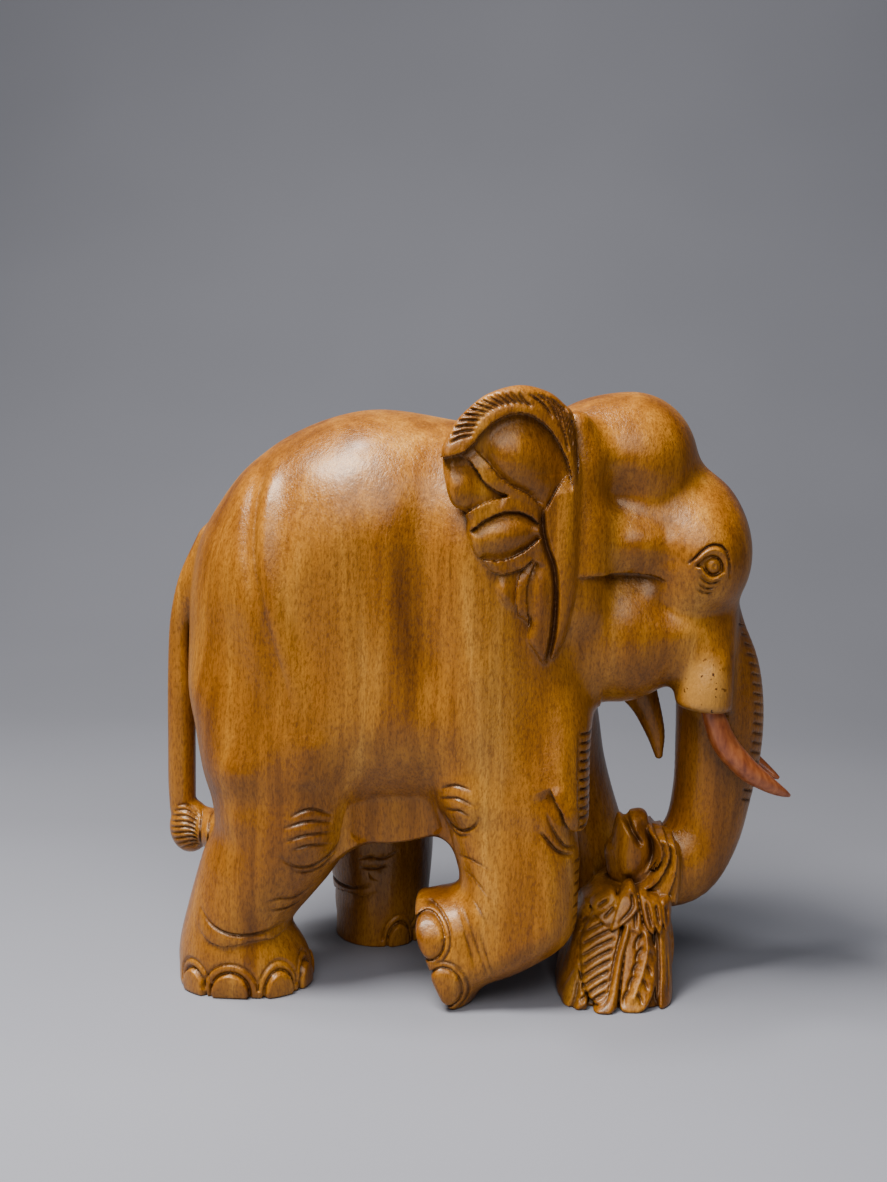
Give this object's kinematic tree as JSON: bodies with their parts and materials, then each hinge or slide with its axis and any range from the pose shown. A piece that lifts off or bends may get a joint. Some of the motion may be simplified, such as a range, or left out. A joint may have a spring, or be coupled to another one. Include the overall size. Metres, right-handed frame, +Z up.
{
  "type": "carved wooden elephant",
  "caption": "Hand-carved walking elephant in varnished honey-brown wood, holding a bunch of leaves in its trunk, with redder wooden tusks.",
  "frame": {"origin": "centre of the bounding box on the ground, under the belly, with the soles on z = 0", "axes": "+X towards the elephant's face, +Y towards its left side, +Z up"},
  "size_m": [0.2727, 0.132, 0.2549],
  "materials": {
    "carved_wood": "semi-gloss varnish over straight-grained honey-brown hardwood, with darker stain in the cuts",
    "tusk_wood": "satin oiled reddish-brown hardwood"
  },
  "bodies": {
    "root": {"carved_body": "carved_wood", "right_tusk": "tusk_wood", "left_tusk": "tusk_wood"}
  },
  "joints": []
}
